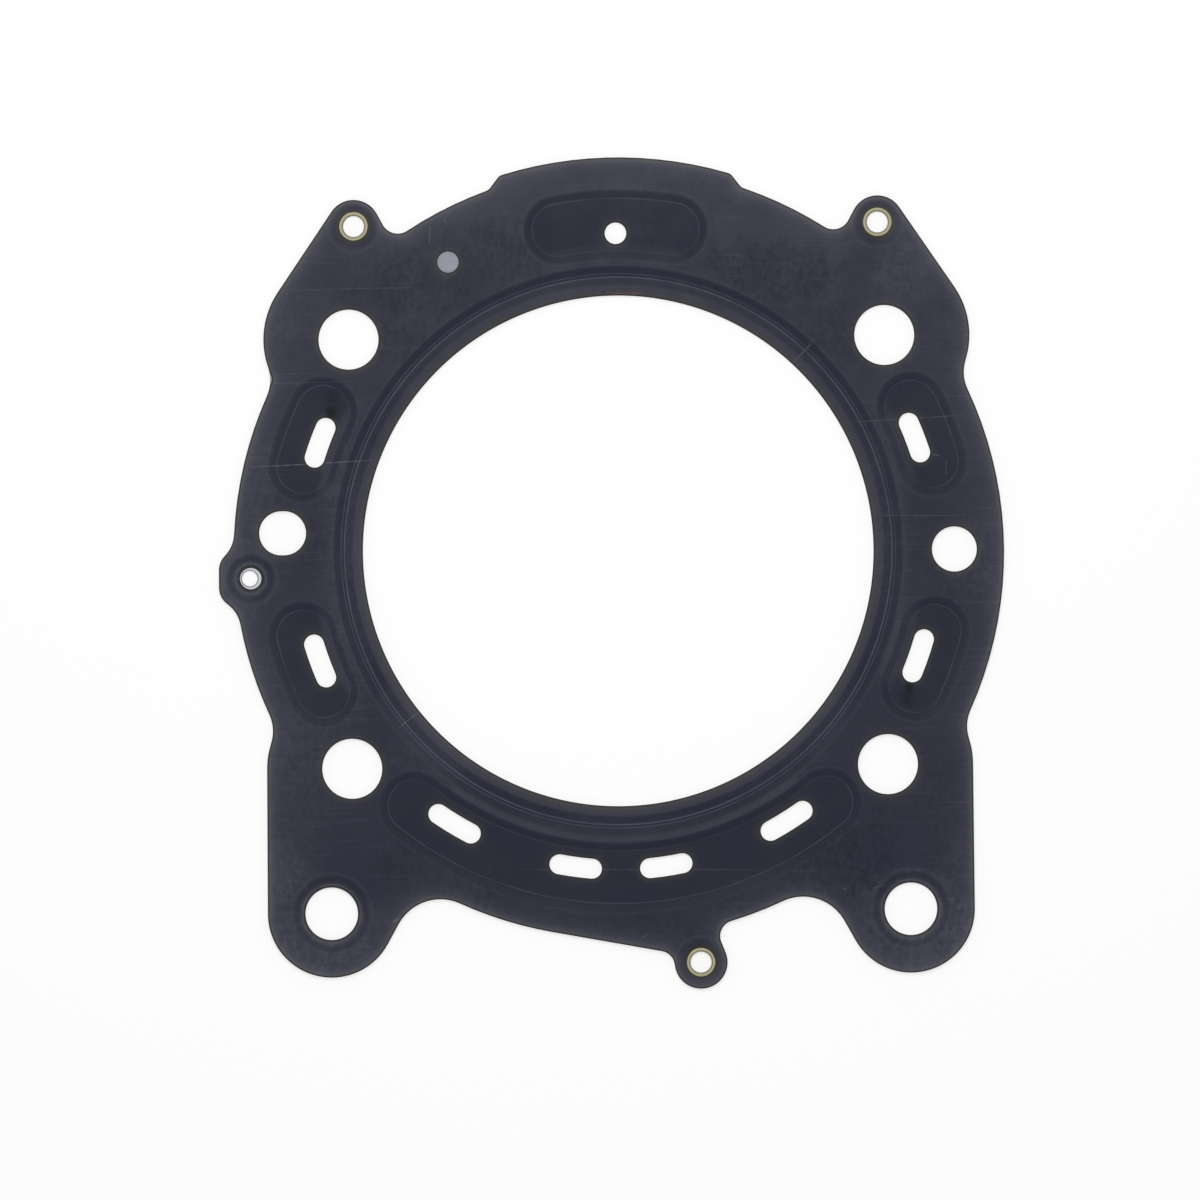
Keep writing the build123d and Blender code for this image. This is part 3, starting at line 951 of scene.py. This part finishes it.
def rolled(tree, at, seed, lines, colour):
    """Rolling lines across the sheet, plainest at its left and right."""
    hair = use(tree, streaks, Place=at.flat, Length=9.0, Spacing=0.22, Seed=7.0 + seed)
    wide = use(tree, streaks, Place=at.flat, Length=50.0, Spacing=2.2, Seed=3.0 + seed)
    lined = use(tree, blotch, Place=at.place, Size=24.0, Low=0.35, High=0.6, Seed=2.0 + seed)
    side = plus(tree, fall(tree, at.across, *left_ear, 0.8), ramp(tree, at.across, *right_ear, 0.0, 0.7))
    lined = shift(tree, lined, 0.6, plus(tree, side, 0.4))
    light_lines = times(tree, ramp(tree, lines, 0.56, 0.72), lined)
    colour = tint(tree, light_lines, colour, line_light, amount=0.36)
    colour = tint(tree, fall(tree, hair, 0.35, 0.65), colour, coating_dark_and_shade, amount=0.34)
    return tint(tree, ramp(tree, wide, 0.45, 0.7), colour, coating_dark_and_shade, amount=0.22)


def press_mask(tree, at):
    """Where the press sank or bent the sheet: its floors and slopes."""
    inboard = ramp(tree, at.crest, *inner_crest, 0.35, 1.0)
    over_slope = times(tree, fall(tree, at.bead, *bead_slope), inboard)
    over_slope = most(tree, over_slope, fall(tree, at.floor, *floor_slope))
    round_slope = times(tree, on_band(tree, at.dimple, dimple_slope), at.wide_dimple)
    return most(tree, over_slope, times(tree, round_slope, 0.85))


def pressed_coating(tree, at, seed, pressed, colour):
    """Painted shade: floors and slopes darker than the flats, darkest at the foot of a slope; a lighter bore
    lip; and a fine grain.
    """
    # Painted shade on the sunk floors and slopes, darkest at the foot of a slope
    colour = tint(tree, pressed, colour, coating_dark_and_shade, amount=0.65)
    foot = most(tree, on_band(tree, at.floor, floor_foot), on_band(tree, at.bead, bead_foot))
    colour = tint(tree, foot, colour, slope_foot_shade, amount=0.25)
    lip = times(tree, fall(tree, at.crest, *lip_border), ramp(tree, at.along, *lip_span, 0.56, 0.16))
    colour = tint(tree, lip, colour, lip_light)
    woven = vector_maths(tree, "MULTIPLY", at.place, (1.0, 0.5, 1.0))
    grain = use(tree, blotch, Place=woven, Size=0.4, Low=0.35, High=0.65, Seed=11.0 + seed)
    grain = times(tree, grain, ramp(tree, pressed, 0.0, 1.0, 0.13, 0.05))
    return tint(tree, grain, colour, coating_dark_and_shade)


def with_painted_sheen(tree, at, colour):
    """Painted sheen on the lower bead, the narrow lands beside it and the inner sides of the floors."""
    on_bead = fall(tree, at.crest, *bead_side)
    on_land = on_band(tree, at.crest, narrow_land)
    on_floor = times(tree, on_band(tree, at.crest, inner_floor), fall(tree, at.floor, *floor_side))
    at_slope = ramp(tree, at.across, *left_slope, 0.35, 1.0)
    on_floor = times(tree, on_floor, ramp(tree, at.crest, *floor_start, at_slope, 1.0))
    # Painted sheen on these parts of the relief
    for listed, where in ((bead_sheen, on_bead), (land_sheen, on_land), (floor_sheen, on_floor)):
        bloom = times(tree, patches(tree, at.flat, listed), where)
        colour = tint(tree, bloom, colour, pale_tone_and_sheen)
    return colour


def bend_highlights(tree, at, seed, colour):
    """Painted highlights on the shoulders, partly burnish, and along the creases, patchy and sharpest at the
    left and below.
    """
    shoulder = most(
        tree,
        on_band(tree, at.floor, floor_shoulder),
        times(tree, on_band(tree, at.bead, bead_shoulder), ramp(tree, at.crest, *outer_crest)),
        on_band(tree, at.dimple, dimple_shoulder),
    )
    # Painted highlight on the shoulders, partly burnish
    colour = tint(tree, shoulder, colour, shoulder_highlight_and_burnish, amount=0.22)

    # Painted highlights along the creases, patchy, brightest at the left and below
    patchy = use(tree, blotch, Place=at.place, Size=9.0, Low=0.3, High=0.6, Seed=6.0 + seed)
    off_crease = minus(tree, at.floor, fall(tree, at.axis, *crease_shift, 0.1))
    crease = times(tree, on_band(tree, off_crease, floor_crease), shift(tree, patchy, 0.24, 0.12))
    crease = times(tree, crease, ramp(tree, at.axis, *crease_fade, 0.5, 1.0))
    sharp = most(tree, fall(tree, at.along, *lower_half), fall(tree, at.across, *left_side))
    inner = times(tree, on_band(tree, at.crest, inner_crease), 0.98)
    outer = times(tree, on_band(tree, at.crest, outer_crease), shift(tree, sharp, 0.17, 0.45))
    left_on = shift(tree, patchy, 0.4, shift(tree, sharp, 0.18, 0.6))
    ring = times(tree, most(tree, inner, outer), left_on)
    dent = times(tree, on_band(tree, at.dimple, dimple_crease), 0.34)
    return tint(tree, most(tree, crease, ring, dent), colour, crease_highlight)


def scratched(tree, at, colour):
    """Scratches on the upper sheet."""
    marks = most(tree, *(
        times(tree, use(
            tree, scuff, Place=at.flat, Start=(*start, 0), End=(*end, 0), Width=width,
        ), amount)
        for start, end, width, amount in scratches
    ))
    return tint(tree, marks, colour, scratch_light)


def edged(tree, at, upper, colour):
    """The coating's edges: painted olive shadow at eyelets, rusty at the bore, painted highlights at cuts
    and the outline, painted black shadow at the orifice, dark spots, and painted shade at each cut's rim.
    """
    small_dimple = fall(tree, at.wide_dimple, 0.3, 0.9)
    # Painted contact shadow in a ring round each eyelet
    beside = times(tree, on_band(tree, at.dimple, eyelet_shadow_band), small_dimple)
    colour = tint(tree, beside, colour, olive_contact_shadow, amount=0.95)
    if upper:
        colour = tint(tree, patches(tree, at.flat, rust_marks), colour, rust_pink)
    # Painted highlights, added along the cut edges and the outline
    for distance, width, added in (
        (at.edge, 0.5, edge_highlight), (at.outline, 0.75, outline_highlight), (at.outline, 3.5, outline_broad_light),
    ):
        glow = maths(tree, "EXPONENT", times(tree, distance, -1 / width))
        colour = tint(tree, glow, colour, added, mode="ADD")
    # Painted shadow round the orifice
    from_orifice = apart(tree, at.flat, (*orifice_place, 0))
    colour = tint(tree, fall(tree, from_orifice, *orifice_shadow_span, 0.8), colour, spot_and_shadow_black)
    if upper:
        colour = tint(tree, patches(tree, at.flat, dark_spots), colour, spot_and_shadow_black)
    # Painted shade along the rim of each cut edge
    colour = tint(tree, fall(tree, at.edge, *cut_border, 0.88), colour, cut_rim_shade)
    cut = part(tree, "ShaderNodeAttribute", attribute_name="cut_wall").outputs["Fac"]
    return tint(tree, cut, colour, cut_steel)


def coated_steel(name, seed, upper):
    """Blue-black rubber coating, with painted shade where the press bent it and painted highlights along the
    creases and shoulders.
    """
    finish, tree, skin, place = new_finish(name)
    at = gauge(tree, place)
    upright = vector_maths(tree, "MULTIPLY", place, (1.0, 0.6, 1.0))
    fine = use(tree, blotch, Place=upright, Size=0.8, Low=0.38, High=0.62, Seed=4.0 + seed)
    lines = use(tree, streaks, Place=at.flat, Length=16.0, Spacing=0.5, Seed=seed)
    pressed = press_mask(tree, at)

    colour = plain_coating(tree, at, seed, fine)
    if upper:
        colour = handled(tree, at, fine, colour)
    colour = rolled(tree, at, seed, lines, colour)
    colour = pressed_coating(tree, at, seed, pressed, colour)
    if upper:
        colour = with_painted_sheen(tree, at, colour)
    colour = bend_highlights(tree, at, seed, colour)
    if upper:
        colour = scratched(tree, at, colour)
    colour = edged(tree, at, upper, colour)

    dull = use(tree, blotch, Place=place, Size=6.0, Seed=5.0)
    set_inputs(tree, skin, {
        "Base Color": colour,
        "Roughness": plus(tree, shift(tree, pressed, 0.14, 0.4), times(tree, dull, 0.06)),
        "Specular IOR Level": 0.1,
        "Normal": grain_bump(tree, plus(tree, lines, times(tree, fine, 0.5))),
    })
    return finish


def bare_steel(name):
    """Brushed bare steel, brighter round the fine hole of the oil orifice, with painted shade at the inner
    rim of that bright ring.
    """
    finish, tree, skin, place = new_finish(name)
    flat = in_plan(tree, place)
    lines = use(tree, streaks, Place=flat, Length=6.0, Spacing=0.12, Seed=1.0)
    colour = tint(tree, ramp(tree, lines, 0.3, 0.7), steel_dark, steel_light)
    spots = use(tree, blotch, Place=place, Size=0.5, Low=0.4, High=0.7, Seed=1.0)
    colour = tint(tree, spots, colour, steel_spot, amount=0.25)
    x, y = orifice_place
    colour = tint(tree, fall(tree, apart(tree, flat, (x, y, 0)), *steel_gap), colour, orifice_bright)
    # Painted shade at the inner rim of the bright ring
    rim = on_band(tree, apart(tree, flat, (x - 0.2, y, 0)), orifice_rim)
    colour = tint(tree, rim, colour, orifice_rim_shade, amount=0.95)
    set_inputs(tree, skin, {
        "Base Color": colour,
        "Roughness": shift(tree, lines, 0.15, 0.4),
        "Metallic": 0.35,
        "Normal": grain_bump(tree, lines),
    })
    return finish


def eyelet_brass(name):
    """Pale olive brass plate, duller and browner on the upper eyelets, with painted shade down in the mouth
    and in a groove round it.
    """
    finish, tree, skin, place = new_finish(name)
    mottled = use(tree, blotch, Place=place, Size=1.5, Seed=2.0)
    colour = tint(tree, mottled, brass_dark, brass_light)
    along = part(tree, "ShaderNodeSeparateXYZ", {0: place}).outputs[1]
    colour = tint(tree, ramp(tree, along, *brass_span, 0.0, 0.3), colour, brown_brass_and_shade)
    # Painted shade: browner on faces that lean, down in the mouth
    lean = part(tree, "ShaderNodeNewGeometry").outputs["Normal"]
    upright = part(tree, "ShaderNodeSeparateXYZ", {0: lean}).outputs[2]
    colour = tint(tree, fall(tree, upright, 0.55, 0.98), colour, brown_brass_and_shade)
    # Painted shade in the groove of the rounded mouth
    groove = on_band(tree, reading(tree, "flange_reach"), mouth_groove)
    colour = tint(tree, groove, colour, groove_shade_brown, amount=0.9)
    set_inputs(tree, skin, {
        "Base Color": colour,
        "Roughness": shift(tree, mottled, 0.1, 0.45),
        "Metallic": 0.3,
    })
    return finish


# ---------------------------------------------------------------- making the gasket
coatings = {
    "top_sheet": coated_steel("coated steel, upper sheet", 0.0, True),
    "bottom_sheet": coated_steel("coated steel, lower sheet", 20.0, False),
}
press = press_tree()
for node_name, face_down in (("top_sheet", False), ("bottom_sheet", True)):
    blank, outline = cut_blank("coated_" + node_name, node_name)
    tools = press_tools(outline)
    spines, middles, outline_line = tools
    sheet = bake_tree("coated_" + node_name, blank, press, {
        "Floor Spines": spines,
        "Dimple Middles": middles,
        "Outline": outline_line,
        "Face Down": face_down,
        "Finish": coatings[node_name],
    })
    for tool in tools:
        bpy.data.objects.remove(tool)
    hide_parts(node_name)
    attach(sheet, "root")

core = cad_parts["core_sheet"]
core.data.materials.clear()
core.data.materials.append(bare_steel("bare steel, distance sheet"))

brass = eyelet_brass("olive brass, eyelets")
roll = eyelet_tree()
section = eyelet_section()
for seed, (node_name, (x, y)) in enumerate(eyelet_places.items()):
    eyelet = bake_tree("rolled_" + node_name, bpy.data.meshes.new("eyelet_blank"), roll, {
        "Section": section,
        "Middle": (x * MM, y * MM, 0.0),
        "Seed": float(seed),
        "Finish": brass,
    })
    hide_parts(node_name)
    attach(eyelet, "root")
bpy.data.objects.remove(section)

# ---------------------------------------------------------------- floor, light and camera
floor_half, floor_drop = 3, 0.02 * MM
floor_glow = 0.7
sky_on_object = 0.55
lamp_place, lamp_size, lamp_power = Vector((-0.02, 0.17, 0.6)), 0.25, 2.1
camera_height, frame_width, sensor_width = 1.6, 0.24, 36


def seen_directly(tree):
    """1 where the eye, a reflection or glass looks at the background, and 0 where it lights the object."""
    paths = part(tree, "ShaderNodeLightPath").outputs
    return most(tree, paths["Is Camera Ray"], paths["Is Glossy Ray"], paths["Is Transmission Ray"])


floor_corners = [
    (x * floor_half, y * floor_half, -floor_drop) for x, y in ((-1, -1), (1, -1), (1, 1), (-1, 1))
]
floor = new_object("floor", new_mesh("floor", floor_corners, [], [(0, 1, 2, 3)]))
paper = bpy.data.materials.new("white floor")
paper.use_nodes = True
tree = paper.node_tree
skin = tree.nodes["Principled BSDF"]
set_inputs(tree, skin, {
    "Base Color": (0.95, 0.95, 0.95, 1), "Roughness": 1.0, "Specular IOR Level": 0.0,
})
shine = step(tree, "ShaderNodeEmission", {"Strength": 1.0})
glowing = times(tree, seen_directly(tree), floor_glow)
surface = step(tree, "ShaderNodeMixShader", {0: glowing, 1: skin.outputs[0], 2: shine})
tree.links.new(surface, tree.nodes["Material Output"].inputs["Surface"])
floor.data.materials.append(paper)

world = bpy.data.worlds.new("studio")
bpy.context.scene.world = world
world.use_nodes = True
tree = world.node_tree
set_inputs(tree, tree.nodes["Background"], {
    "Color": (1, 1, 1, 1),
    "Strength": ramp(tree, seen_directly(tree), 0.0, 1.0, sky_on_object, 1.0, "LINEAR"),
})

lamp = bpy.data.lights.new("overhead panel", "AREA")
lamp.shape = "SQUARE"
lamp.size = lamp_size
lamp.energy = lamp_power
panel = new_object("overhead panel", lamp)
panel.location = lamp_place
panel.rotation_euler = (-lamp_place).to_track_quat("-Z", "Y").to_euler()

lens = bpy.data.cameras.new("camera")
lens.sensor_width = sensor_width
lens.lens = sensor_width * camera_height / frame_width
lens.clip_start = 0.05
lens.clip_end = 20
camera = new_object("camera", lens)
camera.location = (-3.73 * MM, -9.79 * MM, camera_height)
camera.rotation_euler = (0, 0, math.radians(-0.5))
bpy.context.scene.camera = camera
bpy.context.scene.view_settings.view_transform = "Standard"
